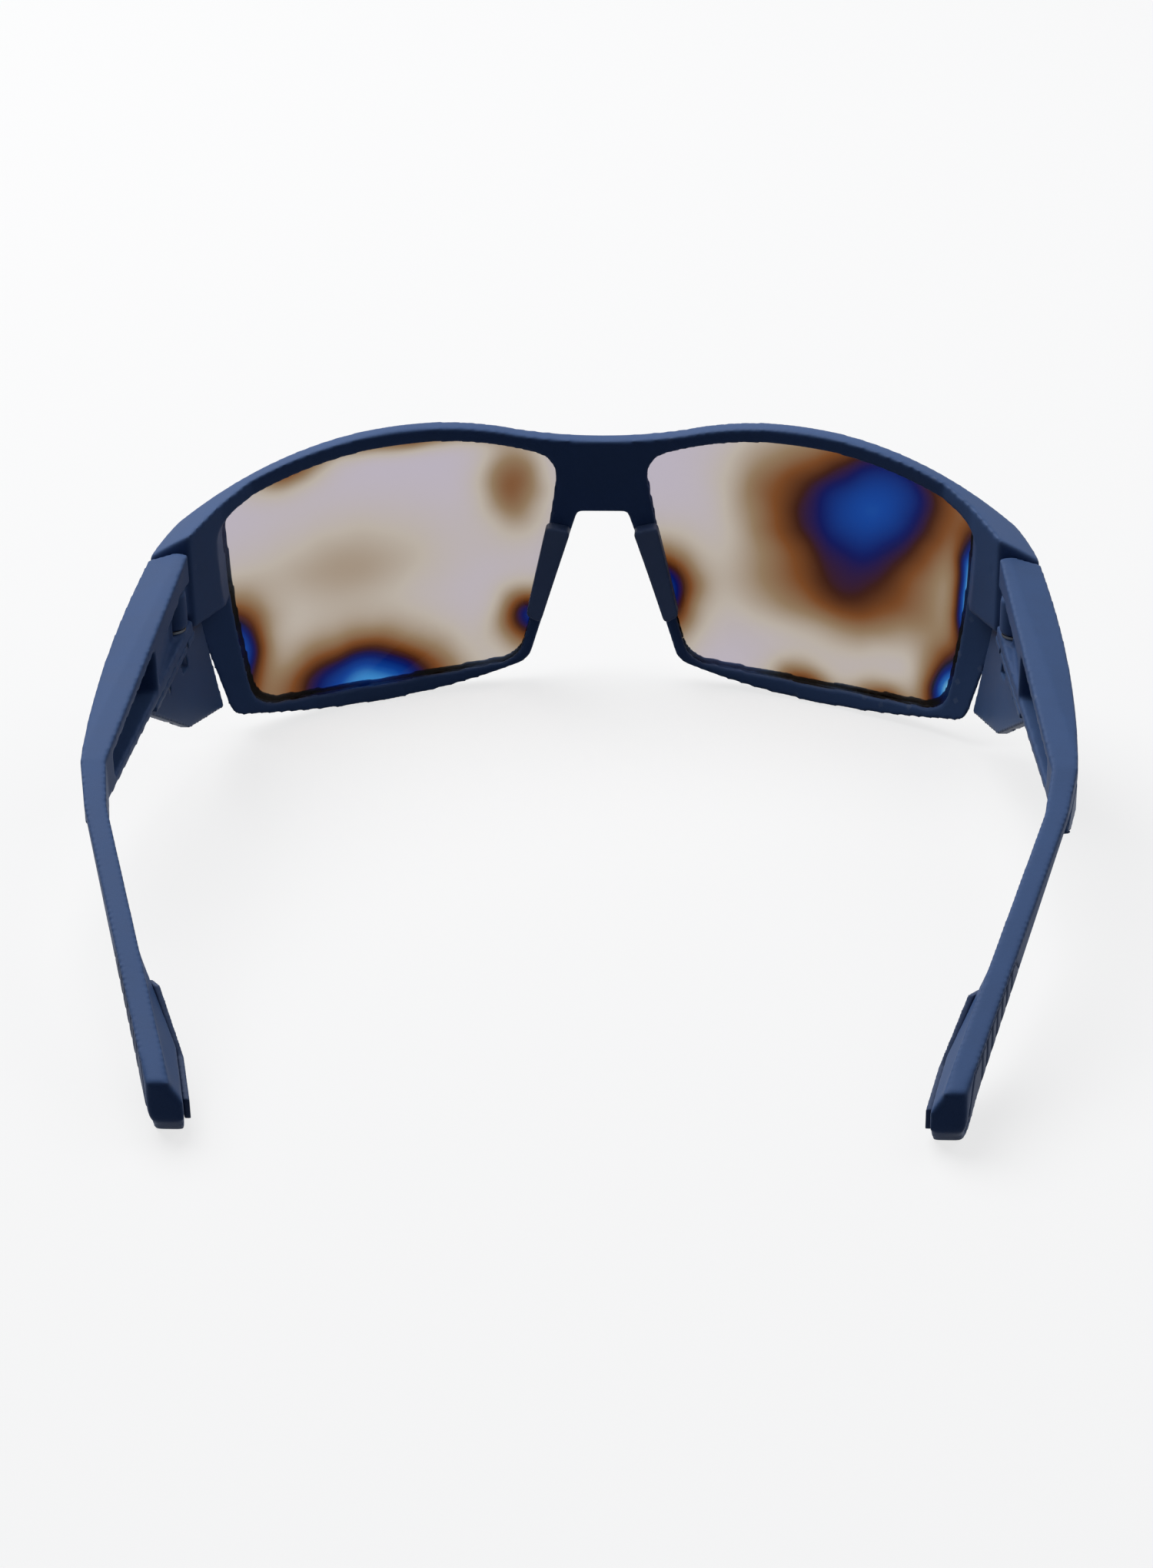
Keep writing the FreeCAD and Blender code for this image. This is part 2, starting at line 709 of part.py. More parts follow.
def stud_seat(size):
    share = (number(size.stud_back) - number(size.seam)) / (number(size.kink_back) - number(size.seam))
    return bottom_at(size, share) - size.fit_gap - size.shelf_thickness


def make_screw(doc, size):
    s = size
    seat = head_seat(s)
    top = s.hinge_low + s.hinge_height + s.insert_height - 0.3
    shaft = cylinder(doc, "ScrewShaft", s.screw_radius, top - seat, s.hinge_across, s.hinge_back, seat)
    head = cylinder(doc, "ScrewHead", s.screw_head_radius, s.screw_head_height,
                    s.hinge_across, s.hinge_back, seat - s.screw_head_height)
    slot = box(doc, "ScrewSlot", (s.hinge_across - 3.0, s.hinge_back - 0.25, seat - s.screw_head_height - 1.0),
               (s.hinge_across + 3.0, s.hinge_back + 0.25, seat - s.screw_head_height + 0.4))
    return combine(doc, "Part::Cut", "ScrewLeft", combine(doc, "Part::Fuse", "ScrewBody", shaft, head), slot)


def make_ring(doc, name, size, radius, height, bottom):
    s = size
    ring = cylinder(doc, name + "Disc", radius, height, s.hinge_across, s.hinge_back, bottom)
    hole = cylinder(doc, name + "Hole", s.screw_radius + s.running_gap, height + 2.0,
                    s.hinge_across, s.hinge_back, bottom - 1.0)
    return combine(doc, "Part::Cut", name, ring, hole)


def make_panel(doc, size):
    s = size
    gap = s.fit_gap
    band_plan = temple_plan(doc, "BandPlan", s, s.panel_thickness * -1.0, Dim(0, "0 mm"))
    band_side = band_outline(doc, "BandSide", s)
    band = combine(doc, "Part::Common", "Band", extrude(doc, "BandPlanBlank", band_plan, 60),
                   extrude(doc, "BandSideBlank", band_side, 90))
    shelf_plan = temple_plan(doc, "ShelfPlan", s, None, Dim(0, "0 mm"))
    shelf_side = outline(doc, "ShelfSide", "side", (s.seam + s.seam_gap, s.front_bottom - gap), [
        ((s.shield_back, shelf_top(s, s.shield_back)),),
        ((s.shield_back, shelf_top(s, s.shield_back) - s.shelf_thickness),),
        ((s.seam + s.seam_gap, s.front_bottom - gap - s.shelf_thickness),),
        ((s.seam + s.seam_gap, s.front_bottom - gap),),
    ])
    shelf = combine(doc, "Part::Common", "Shelf", extrude(doc, "ShelfPlanBlank", shelf_plan, 60),
                    extrude(doc, "ShelfSideBlank", shelf_side, 90))
    blade_side = outline(doc, "BladeSide", "side", (s.shield_front + 1.0, s.front_bottom - gap), [
        ((s.seam + s.seam_gap, s.front_bottom - gap),),
        ((s.shield_back, shelf_top(s, s.shield_back)),),
        ((s.shield_back, shelf_top(s, s.shield_back) - s.shelf_thickness),),
        ((s.shield_corner, s.shield_corner_height),),
        ((s.shield_front, s.shield_front_height),),
        ((s.shield_front + 1.0, s.front_bottom - gap),),
    ])
    slab = box(doc, "BladeSlab", (0, -40.0, -40.0), (s.shield_thickness, Dim(60, "60 mm"), Dim(30, "30 mm")))
    lean = Rotation(Vector(1, 0, 0), Vector(0.979, -0.136, -0.153))
    slab.Placement = Placement(Vector(), lean)
    corner = lean.multVec(Vector(0, -40, -40))
    bind(slab, Placement__Base__x=s.shield_across + corner.x,
         Placement__Base__y=s.shield_front + 3.0 + corner.y,
         Placement__Base__z=s.front_bottom + corner.z)
    blade = combine(doc, "Part::Common", "Blade", extrude(doc, "BladeSideBlank", blade_side, 90), slab)
    body = combine(doc, "Part::Fuse", "PanelBody", band, shelf, blade)
    stud = cylinder(doc, "PanelStudHole", s.stud_radius + s.fit_gap, s.stud_depth + 4.0,
                    s.stud_across, s.stud_back, stud_seat(s) - 1.0)
    well = cylinder(doc, "PanelScrewHole", s.screw_head_radius + 0.5, Dim(6, "6 mm"),
                    s.hinge_across, s.hinge_back, s.front_bottom - 5.0)
    nest = cylinder(doc, "PanelStudNest", s.stud_head_radius + s.fit_gap, Dim(8, "8 mm"),
                    s.stud_across, s.stud_back, stud_seat(s) - 0.3 + s.fit_gap - 8.0)
    return combine(doc, "Part::Cut", "PanelLeft", body, stud, nest, well)


def band_outline(doc, name, size):
    """Side view of the shield's outer band, which lies flush in the arm's outer side."""
    s = size
    return outline(doc, name, "side", (s.seam + s.seam_gap, s.panel_front_height), [
        ((s.kink_back, s.kink_top - 2.6),),
        ((s.panel_end, s.kink_bottom + 0.6),),
        ((s.panel_end - 4.0, s.kink_bottom - 1.0),),
        ((s.kink_back, s.kink_bottom - s.fit_gap - s.shelf_thickness * 0.2),),
        ((s.shield_back, shelf_top(s, s.shield_back) - s.shelf_thickness),),
        ((s.seam + s.seam_gap, s.front_bottom - s.fit_gap - s.shelf_thickness),),
        ((s.seam + s.seam_gap, s.panel_front_height),),
    ])


def shelf_top(size, back):
    share = (number(back) - number(size.seam)) / (number(size.kink_back) - number(size.seam))
    return bottom_at(size, share) - size.fit_gap


def make_stud(doc, size):
    s = size
    seat = stud_seat(s) - 0.3
    shank = cylinder(doc, "StudShank", s.stud_radius, s.stud_depth + s.shelf_thickness * 0.5,
                     s.stud_across, s.stud_back, seat)
    head = cylinder(doc, "StudHead", s.stud_head_radius, s.stud_head_height,
                    s.stud_across, s.stud_back, seat - s.stud_head_height)
    return combine(doc, "Part::Fuse", "StudLeft", shank, head)


def make_nose_pad(doc, size):
    s = size
    rise = number(s.nose_top) - number(s.nose_foot_height)
    low = between(s.nose_foot, s.nose_shoulder, (number(s.pad_low) - number(s.nose_foot_height)) / rise)
    high = between(s.nose_foot, s.nose_shoulder, (number(s.pad_high) - number(s.nose_foot_height)) / rise)
    plan = outline(doc, "PadOutline", "front", (low + 0.2, s.pad_low), [
        ((high + 0.2, s.pad_high),),
        ((high + s.pad_width_high, s.pad_high + 1.0),),
        ((low + s.pad_width_low, s.pad_low + 1.5),),
        ((low + 0.2, s.pad_low),),
    ])
    edge = rounded(doc, "PadEdge", plan, s.pad_round)
    back = s.wrap_radius - s.shell_depth - s.fit_gap
    skin = shell(doc, "PadShell", s, back, back - s.pad_thickness)
    return combine(doc, "Part::Common", "PadLeft", extrude(doc, "PadBlank", edge, 2, 30), skin)


def arm_line(size, back):
    """Outer side of the rear arm at a distance back."""
    s = size
    share = (number(back) - number(s.arm_back)) / (number(s.tip_back) - number(s.arm_back))
    return between(s.arm_outer, s.tip_outer, share)


def arm_heights(size, back):
    """Bottom and top of the rear arm at a distance back."""
    s = size
    top = between(s.kink_top, s.tip_height, (number(back) - number(s.kink_back))
                  / (number(s.tip_back) - number(s.kink_back)))
    start = number(s.kink_back) + 6.0
    middle = number(s.arm_low_back)
    end = number(s.tip_back) - number(s.tip_round) - 3.0
    at = number(back)
    if at < middle:
        return between(s.kink_bottom - 1.8, s.arm_low, (at - start) / (middle - start)), top
    return s.arm_low * max(0.0, (end - at) / (end - middle)), top


def tip_strip(doc, name, size, start, end, inner, outer):
    """Plan strip beside the rear arm between two offsets from its outer side."""
    s = size
    return outline(doc, name, "plan", (arm_line(s, start) + inner, start), [
        ((arm_line(s, start) + outer, start),),
        ((arm_line(s, end) + outer, end),),
        ((arm_line(s, end) + inner, end),),
        ((arm_line(s, start) + inner, start),),
    ])


def long_hexagon(doc, name, size, start, end, margin, taper):
    s = size
    low_a, top_a = arm_heights(s, start + taper)
    low_b, top_b = arm_heights(s, end - taper)
    low_s, top_s = arm_heights(s, start)
    low_e, top_e = arm_heights(s, end)
    return outline(doc, name, "side", (start, between(low_s, top_s, 0.5)), [
        ((start + taper, low_a + margin),),
        ((end - taper, low_b + margin),),
        ((end, between(low_e, top_e, 0.45)),),
        ((end - taper, top_b - margin),),
        ((start + taper, top_a - margin),),
        ((start, between(low_s, top_s, 0.5)),),
    ])


def make_grip(doc, size):
    s = size
    face = s.arm_thickness * -1.0 - s.fit_gap
    backs = (s.grip_start, s.swell_back, s.grip_end)
    near = [(arm_line(s, back) + face - swell_at(s, back), back) for back in backs]
    far = [(arm_line(s, back) + face - swell_at(s, back) - s.grip_thickness, back) for back in backs]
    plan = outline(doc, "GripPlan", "plan", near[0],
                   [(near[1],), (near[2],), (far[2],), (far[1],), (far[0],), (near[0],)])
    low_a, top_a = arm_heights(s, s.grip_start)
    low_b, top_b = arm_heights(s, s.swell_back)
    low_c, top_c = arm_heights(s, s.grip_end)
    drop = s.swell_bevel + s.grip_margin
    side = outline(doc, "GripSide", "side", (s.grip_start, between(low_a, top_a, 0.5)), [
        ((s.swell_back, low_b + s.grip_margin),),
        ((s.grip_end, low_c + s.grip_margin + 0.4),),
        ((s.grip_end, top_c - drop - swell_at(s, s.grip_end) * 1.67),),
        ((s.swell_back, top_b - drop - s.swell * 1.67),),
        ((s.grip_start + 3.0, top_a - drop * 1.4),),
        ((s.grip_start, between(low_a, top_a, 0.5)),),
    ])
    return combine(doc, "Part::Common", "GripLeft", extrude(doc, "GripPlanBlank", plan, 60),
                   extrude(doc, "GripSideBlank", side, 90))


def outer_layer(doc, name, size, depth, reach, grow):
    """Outer layer of the tip within the pad's long hexagon, reaching past the surface if asked."""
    s = size
    strip = tip_strip(doc, name + "Plan", s, s.outer_pad_start - 2.0, s.outer_pad_end + 2.0, -8.0, reach)
    side = long_hexagon(doc, name + "Side", s, s.outer_pad_start, s.outer_pad_end, s.grip_margin * 0.7, 2.0)
    if grow:
        side = offset(doc, name + "SideGrown", side, grow)
    layer = combine(doc, "Part::Common", name + "Layer", extrude(doc, name + "PlanBlank", strip, 60),
                    extrude(doc, name + "SideBlank", side, 90))
    return combine(doc, "Part::Cut", name, layer, make_core(doc, name + "Core", s, depth))


def make_outer_pad(doc, size):
    s = size
    layer = outer_layer(doc, "PadLayer", s, s.outer_pad_thickness, 0.0, None)
    count = int((number(s.outer_pad_end) - number(s.outer_pad_start) - 6.0) / number(s.groove_pitch))
    strips = []
    for index in range(count):
        back = s.outer_pad_start + 3.5 + s.groove_pitch * float(index)
        strip = tip_strip(doc, "GroovePlan%d" % index, s, back, back + s.groove_width, -8.0, 2.0)
        strips.append(extrude(doc, "GrooveStrip%d" % index, strip, 60))
    grooves = combine(doc, "Part::Cut", "Grooves", combine(doc, "Part::Fuse", "GrooveStrips", *strips),
                      make_core(doc, "GrooveCore", s, s.groove_depth))
    return combine(doc, "Part::Cut", "OuterPadLeft", layer, make_undercut(doc, "PadUnder", s, Dim(0, "0 mm")),
                   grooves)


def place(obj, label, size):
    """Name a piece and move it so the origin lies under the middle of the part."""
    obj.Label = label
    obj.setExpression("Placement.Base.y", "%s * -0.5" % size.tip_back.text)


def build():
    doc = FreeCAD.newDocument("Sunglasses")
    size = Sizes(doc)
    s = size
    pieces = {"front_frame": make_frame(doc, s)}
    place(pieces["front_frame"], "front_frame", s)
    ring_top = s.hinge_low + s.hinge_height + s.fit_gap
    left = {
        "lens": make_lens(doc, s),
        "nose_pad": make_nose_pad(doc, s),
        "temple": make_temple(doc, s),
        "side_panel": make_panel(doc, s),
        "panel_stud": make_stud(doc, s),
        "hinge_screw": make_screw(doc, s),
        "hinge_insert": make_ring(doc, "InsertLeft", s, s.insert_radius, s.insert_height - s.fit_gap, ring_top),
        "hinge_washer": make_ring(doc, "WasherLeft", s, s.washer_radius, s.washer_thickness,
                                  s.hinge_low + s.fit_gap),
        "tip_grip": make_grip(doc, s),
        "tip_pad": make_outer_pad(doc, s),
    }
    for name, piece in left.items():
        place(piece, name + "_left", s)
        pieces[name + "_left"] = piece
        twin = mirror(doc, name.title().replace("_", "") + "Right", piece)
        twin.Label = name + "_right"
        pieces[name + "_right"] = twin
    doc.recompute()
    check(doc, pieces)
    os.makedirs("parts", exist_ok=True)
    for name, piece in pieces.items():
        piece.Shape.exportStep(os.path.join("parts", name + ".step"))
    return doc


def check(doc, pieces):
    """Stop if an object failed or a piece has no sound solid."""
    for obj in doc.Objects:
        if "Invalid" in obj.State or "Error" in obj.State:
            raise RuntimeError("%s failed to build" % obj.Name)
    for name, piece in pieces.items():
        if piece.Shape.isNull() or not piece.Shape.isValid():
            raise RuntimeError("%s is not a sound shape" % name)
        if len(piece.Shape.Solids) != 1:
            raise RuntimeError("%s has %d solids" % (name, len(piece.Shape.Solids)))


build()
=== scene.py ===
"""Wraparound sport sunglasses: the visual model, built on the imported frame."""

import logging
import math
from dataclasses import dataclass
from enum import Enum

import bpy
from mathutils import Matrix, Vector


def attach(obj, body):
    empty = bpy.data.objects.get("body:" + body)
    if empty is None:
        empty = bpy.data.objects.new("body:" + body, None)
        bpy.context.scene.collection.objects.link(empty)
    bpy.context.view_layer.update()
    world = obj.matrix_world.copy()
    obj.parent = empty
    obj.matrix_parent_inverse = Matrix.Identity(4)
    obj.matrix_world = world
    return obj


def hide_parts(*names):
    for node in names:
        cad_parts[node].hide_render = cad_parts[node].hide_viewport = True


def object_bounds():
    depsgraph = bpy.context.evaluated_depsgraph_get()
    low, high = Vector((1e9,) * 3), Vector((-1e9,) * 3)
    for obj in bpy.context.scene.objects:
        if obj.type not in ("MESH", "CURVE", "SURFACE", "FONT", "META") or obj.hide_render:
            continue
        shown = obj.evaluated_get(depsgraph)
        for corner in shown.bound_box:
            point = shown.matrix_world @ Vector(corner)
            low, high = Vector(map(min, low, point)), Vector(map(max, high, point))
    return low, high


LOG = logging.getLogger("sunglasses")
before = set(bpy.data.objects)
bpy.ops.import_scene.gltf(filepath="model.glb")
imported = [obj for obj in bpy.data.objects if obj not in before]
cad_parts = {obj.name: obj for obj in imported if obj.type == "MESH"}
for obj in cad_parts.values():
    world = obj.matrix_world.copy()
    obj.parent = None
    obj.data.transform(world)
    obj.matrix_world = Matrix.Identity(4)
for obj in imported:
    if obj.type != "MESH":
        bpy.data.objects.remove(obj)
CAD_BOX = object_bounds()

# Length of each arm's rear end that is rounded further, in metres.
TIP_ROUNDING = 0.005

# Noise scales of moulded plastic: grain, mottling, broad patches, and the cells that may hold a speck.
GRAIN_SCALE = 5200.0
MOTTLE_SCALE = 160.0
BROAD_SCALE = 24.0
SPECK_SCALE = 260.0
SPECK_REACH = 0.045
SPECK_CHOICE = 0.972
SPECK_COLOUR = (0.62, 0.66, 0.74, 1.0)
SHARP_EDGE = (0.52, 0.60)
BUMP_DEPTH = 0.00006

# Lens: unevenness of the strain, faint smears, and a low bending of light that keeps dark bands dark.
DRIFT_SCALE = 95.0
SMEAR_SCALE = 60.0
SMEAR_ROUGHNESS = 0.03
LENS_IOR = 1.15

# Turned metal: fine lines drawn out round the axis, and the share of the colour left in their dull parts.
LATHE_SCALE = 900.0
LATHE_STRETCH = (1.0, 1.0, 14.0)
LATHE_ROUGHNESS = 0.2
DULL_SHARE = 0.45

SENSOR_WIDTH = 36.0


class Side(Enum):
    """The wearer's left is +X and the wearer's right is -X."""

    LEFT = 1
    RIGHT = -1

    @property
    def suffix(self) -> str:
        """Ending of the node names on this side."""
        return "_left" if self is Side.LEFT else "_right"

    @property
    def body(self) -> str:
        """Body that the arm on this side rides on."""
        return "left_arm" if self is Side.LEFT else "right_arm"


class NodeTree:
    """Short calls for laying out one shader tree."""

    def __init__(self, tree: bpy.types.NodeTree) -> None:
        """Keep the tree.

        Args:
            tree: A material's node tree or a shader node group.
        """
        self.tree = tree

    def add(self, kind: str, **values: object) -> bpy.types.Node:
        """Add a node and set its plain properties.

        Args:
            kind: Node type, such as ShaderNodeMath.
            **values: Properties by name.

        Returns:
            The new node.
        """
        node = self.tree.nodes.new(kind)
        for name, value in values.items():
            setattr(node, name, value)
        return node

    def link(self, source: bpy.types.NodeSocket, target: bpy.types.NodeSocket) -> None:
        """Join two sockets."""
        self.tree.links.new(source, target)

    def math(self, operation: str, first: object, second: object = 0.0,
             clamp: bool = False) -> bpy.types.NodeSocket:
        """Combine two values.

        Args:
            operation: Name of the operation.
            first: A socket or a number.
            second: A socket or a number.
            clamp: Whether to hold the result between 0 and 1.

        Returns:
            The result socket.
        """
        node = self.add("ShaderNodeMath", operation=operation, use_clamp=clamp)
        for index, value in enumerate((first, second)):
            if isinstance(value, bpy.types.NodeSocket):
                self.link(value, node.inputs[index])
            else:
                node.inputs[index].default_value = value
        return node.outputs[0]

    def mix(self, share: object, first: object, second: object) -> bpy.types.NodeSocket:
        """Mix two colours.

        Args:
            share: A socket or a number from 0 to 1.
            first: A colour socket or a colour.
            second: A colour socket or a colour.

        Returns:
            The mixed colour socket.
        """
        node = self.add("ShaderNodeMix", data_type="RGBA", blend_type="MIX", clamp_factor=True)
        for index, value in ((0, share), (6, first), (7, second)):
            if isinstance(value, bpy.types.NodeSocket):
                self.link(value, node.inputs[index])
            else:
                node.inputs[index].default_value = value
        return node.outputs[2]

    def ramp(self, value: bpy.types.NodeSocket,
             stops: list[tuple[float, tuple[float, float, float]]]) -> bpy.types.NodeSocket:
        """Turn a value into a colour.

        Args:
            value: The value to read.
            stops: Place and colour of each stop.

        Returns:
            The colour socket.
        """
        node = self.add("ShaderNodeValToRGB")
        node.color_ramp.interpolation = "LINEAR"
        elements = node.color_ramp.elements
        while len(elements) > 1:
            elements.remove(elements[-1])
        elements[0].position = stops[0][0]
        elements[0].color = (*stops[0][1], 1.0)
        for place, colour in stops[1:]:
            elements.new(place).color = (*colour, 1.0)
        self.link(value, node.inputs[0])
        return node.outputs[0]


def linear(red: float, green: float, blue: float) -> tuple[float, float, float]:
    """Turn a display colour from 0 to 255 into linear light.

    Args:
        red: Red.
        green: Green.
        blue: Blue.

    Returns:
        The linear colour.
    """
    def one(value: float) -> float:
        """Turn one channel."""
        share = value / 255.0
        return share / 12.92 if share <= 0.04045 else ((share + 0.055) / 1.055) ** 2.4
    return one(red), one(green), one(blue)


def moulded_surface() -> bpy.types.NodeTree:
    """Build the group for moulded plastic: fine grain, soft mottling, rubbed edges and specks.

    Returns:
        The group, made on the first call.
    """
    found = bpy.data.node_groups.get("moulded_surface")
    if found:
        return found
    group = bpy.data.node_groups.new("moulded_surface", "ShaderNodeTree")
    for name, kind, value in (("Colour", "NodeSocketColor", (0.1, 0.1, 0.1, 1.0)),
                              ("Rubbed", "NodeSocketColor", (0.2, 0.2, 0.2, 1.0)),
                              ("Roughness", "NodeSocketFloat", 0.5),
                              ("Wear", "NodeSocketFloat", 0.3),
                              ("Specks", "NodeSocketFloat", 1.0)):
        socket = group.interface.new_socket(name, in_out="INPUT", socket_type=kind)
        socket.default_value = value
    for name, kind in (("Colour", "NodeSocketColor"), ("Roughness", "NodeSocketFloat"),
                       ("Height", "NodeSocketFloat")):
        group.interface.new_socket(name, in_out="OUTPUT", socket_type=kind)
    net = NodeTree(group)
    given = net.add("NodeGroupInput")
    result = net.add("NodeGroupOutput")
    place = net.add("ShaderNodeTexCoord").outputs["Object"]

    def noise(scale: float, detail: float, roughness: float) -> bpy.types.NodeSocket:
        """Add a noise pattern over the piece.

        Args:
            scale: How fine it is.
            detail: How many finer layers it has.
            roughness: How strong those layers are.

        Returns:
            The pattern's value.
        """
        node = net.add("ShaderNodeTexNoise")
        node.inputs["Scale"].default_value = scale
        node.inputs["Detail"].default_value = detail
        node.inputs["Roughness"].default_value = roughness
        net.link(place, node.inputs["Vector"])
        return node.outputs["Fac"]

    grain = noise(GRAIN_SCALE, 2.0, 0.6)
    mottle = noise(MOTTLE_SCALE, 3.0, 0.55)
    broad = noise(BROAD_SCALE, 2.0, 0.5)
    tone = net.math("ADD", net.math("MULTIPLY", mottle, 0.22), net.math("MULTIPLY", broad, 0.22))
    tone = net.math("ADD", net.math("MULTIPLY", grain, 0.16), tone)
    tone = net.math("ADD", tone, 0.70)
    shade = net.add("ShaderNodeVectorMath", operation="SCALE")
    net.link(given.outputs["Colour"], shade.inputs[0])
    net.link(tone, shade.inputs["Scale"])
    edge = net.add("ShaderNodeNewGeometry").outputs["Pointiness"]
    sharp = net.add("ShaderNodeMapRange")
    sharp.inputs["From Min"].default_value = SHARP_EDGE[0]
    sharp.inputs["From Max"].default_value = SHARP_EDGE[1]
    net.link(edge, sharp.inputs["Value"])
    broken = net.math("MULTIPLY", sharp.outputs[0], net.math("MULTIPLY", mottle, 1.6, True), True)
    worn = net.math("MULTIPLY", broken, given.outputs["Wear"], True)
    colour = net.mix(worn, shade.outputs[0], given.outputs["Rubbed"])
    dots = net.add("ShaderNodeTexVoronoi")
    dots.inputs["Scale"].default_value = SPECK_SCALE
    net.link(place, dots.inputs["Vector"])
    near = net.math("LESS_THAN", dots.outputs["Distance"], SPECK_REACH)
    split = net.add("ShaderNodeSeparateColor")
    net.link(dots.outputs["Color"], split.inputs[0])
    chosen = net.math("GREATER_THAN", split.outputs[0], SPECK_CHOICE)
    speck = net.math("MULTIPLY", net.math("MULTIPLY", near, chosen), given.outputs["Specks"], True)
    colour = net.mix(speck, colour, SPECK_COLOUR)
    net.link(colour, result.inputs["Colour"])
    rough = net.math("ADD", given.outputs["Roughness"],
                     net.math("MULTIPLY", net.math("SUBTRACT", mottle, 0.5), 0.16))
    net.link(net.math("SUBTRACT", rough, net.math("MULTIPLY", worn, 0.12), True), result.inputs["Roughness"])
    net.link(net.math("ADD", net.math("MULTIPLY", grain, 0.7), net.math("MULTIPLY", mottle, 0.3)),
             result.inputs["Height"])
    return group


@dataclass(frozen=True)
class MouldedPlastic:
    """A matte or satin moulded plastic or rubber."""

    name: str
    colour: tuple[float, float, float]
    rubbed: tuple[float, float, float]
    roughness: float = 0.55
    wear: float = 0.3
    specks: float = 1.0
    bump: float = 0.25
    specular: float = 0.08

    def build(self) -> bpy.types.Material:
        """Make the material.

        Returns:
            The material.
        """
        found = bpy.data.materials.get(self.name)
        if found:
            return found
        material = bpy.data.materials.new(self.name)
        material.use_nodes = True
        net = NodeTree(material.node_tree)
        shader = material.node_tree.nodes["Principled BSDF"]
        surface = net.add("ShaderNodeGroup")
        surface.node_tree = moulded_surface()
        surface.inputs["Colour"].default_value = (*self.colour, 1.0)
        surface.inputs["Rubbed"].default_value = (*self.rubbed, 1.0)
        surface.inputs["Roughness"].default_value = self.roughness
        surface.inputs["Wear"].default_value = self.wear
        surface.inputs["Specks"].default_value = self.specks
        net.link(surface.outputs["Colour"], shader.inputs["Base Color"])
        net.link(surface.outputs["Roughness"], shader.inputs["Roughness"])
        bump = net.add("ShaderNodeBump")
        bump.inputs["Strength"].default_value = self.bump
        bump.inputs["Distance"].default_value = BUMP_DEPTH
        net.link(surface.outputs["Height"], bump.inputs["Height"])
        net.link(bump.outputs["Normal"], shader.inputs["Normal"])
        shader.inputs["Specular IOR Level"].default_value = self.specular
        return material


def strain_centre() -> bpy.types.NodeTree:
    """Build the group that adds one strained place to the strain so far, fading out round its centre.

    Returns:
        The group, made on the first call.
    """
    found = bpy.data.node_groups.get("strain_centre")
    if found:
        return found
    group = bpy.data.node_groups.new("strain_centre", "ShaderNodeTree")
    for name, kind in (("Before", "NodeSocketFloat"), ("Point", "NodeSocketVector"),
                       ("Centre", "NodeSocketVector"), ("Reach", "NodeSocketVector"),
                       ("Turn", "NodeSocketFloat"), ("Strength", "NodeSocketFloat")):
        group.interface.new_socket(name, in_out="INPUT", socket_type=kind)
    group.interface.new_socket("Strain", in_out="OUTPUT", socket_type="NodeSocketFloat")
    net = NodeTree(group)
    given = net.add("NodeGroupInput")
    result = net.add("NodeGroupOutput")
    away = net.add("ShaderNodeVectorMath", operation="SUBTRACT")
    net.link(given.outputs["Point"], away.inputs[0])
    net.link(given.outputs["Centre"], away.inputs[1])
    turned = net.add("ShaderNodeVectorRotate", rotation_type="Y_AXIS")
    net.link(away.outputs[0], turned.inputs["Vector"])
    net.link(given.outputs["Turn"], turned.inputs["Angle"])
    share = net.add("ShaderNodeVectorMath", operation="DIVIDE")
    net.link(turned.outputs[0], share.inputs[0])
    net.link(given.outputs["Reach"], share.inputs[1])
    flat = net.add("ShaderNodeVectorMath", operation="MULTIPLY")
    net.link(share.outputs[0], flat.inputs[0])
    flat.inputs[1].default_value = (1.0, 0.0, 1.0)
    length = net.add("ShaderNodeVectorMath", operation="LENGTH")
    net.link(flat.outputs[0], length.inputs[0])
    fade = net.math("POWER", math.exp(-1.0), net.math("POWER", length.outputs["Value"], 2.0))
    added = net.math("MULTIPLY", fade, given.outputs["Strength"])
    net.link(net.math("ADD", given.outputs["Before"], added), result.inputs["Strain"])
    return group


# Colours that a polarised lens runs through as the strain in it grows, from none to the most.
STRAIN_SERIES = (
    (0.00, (190, 182, 194)),
    (0.12, (190, 180, 168)),
    (0.26, (148, 124, 96)),
    (0.38, (122, 72, 34)),
    (0.48, (60, 26, 14)),
    (0.57, (8, 18, 88)),
    (0.70, (14, 66, 150)),
    (0.80, (70, 150, 212)),
    (0.90, (182, 222, 216)),
    (1.00, (232, 218, 150)),
)


@dataclass(frozen=True)
class Strain:
    """A strained place, in shares of the lens: across from the nose, up from the bottom; turn in degrees."""

    across: float
    up: float
    wide: float
    tall: float
    strength: float
    turn: float = 0.0


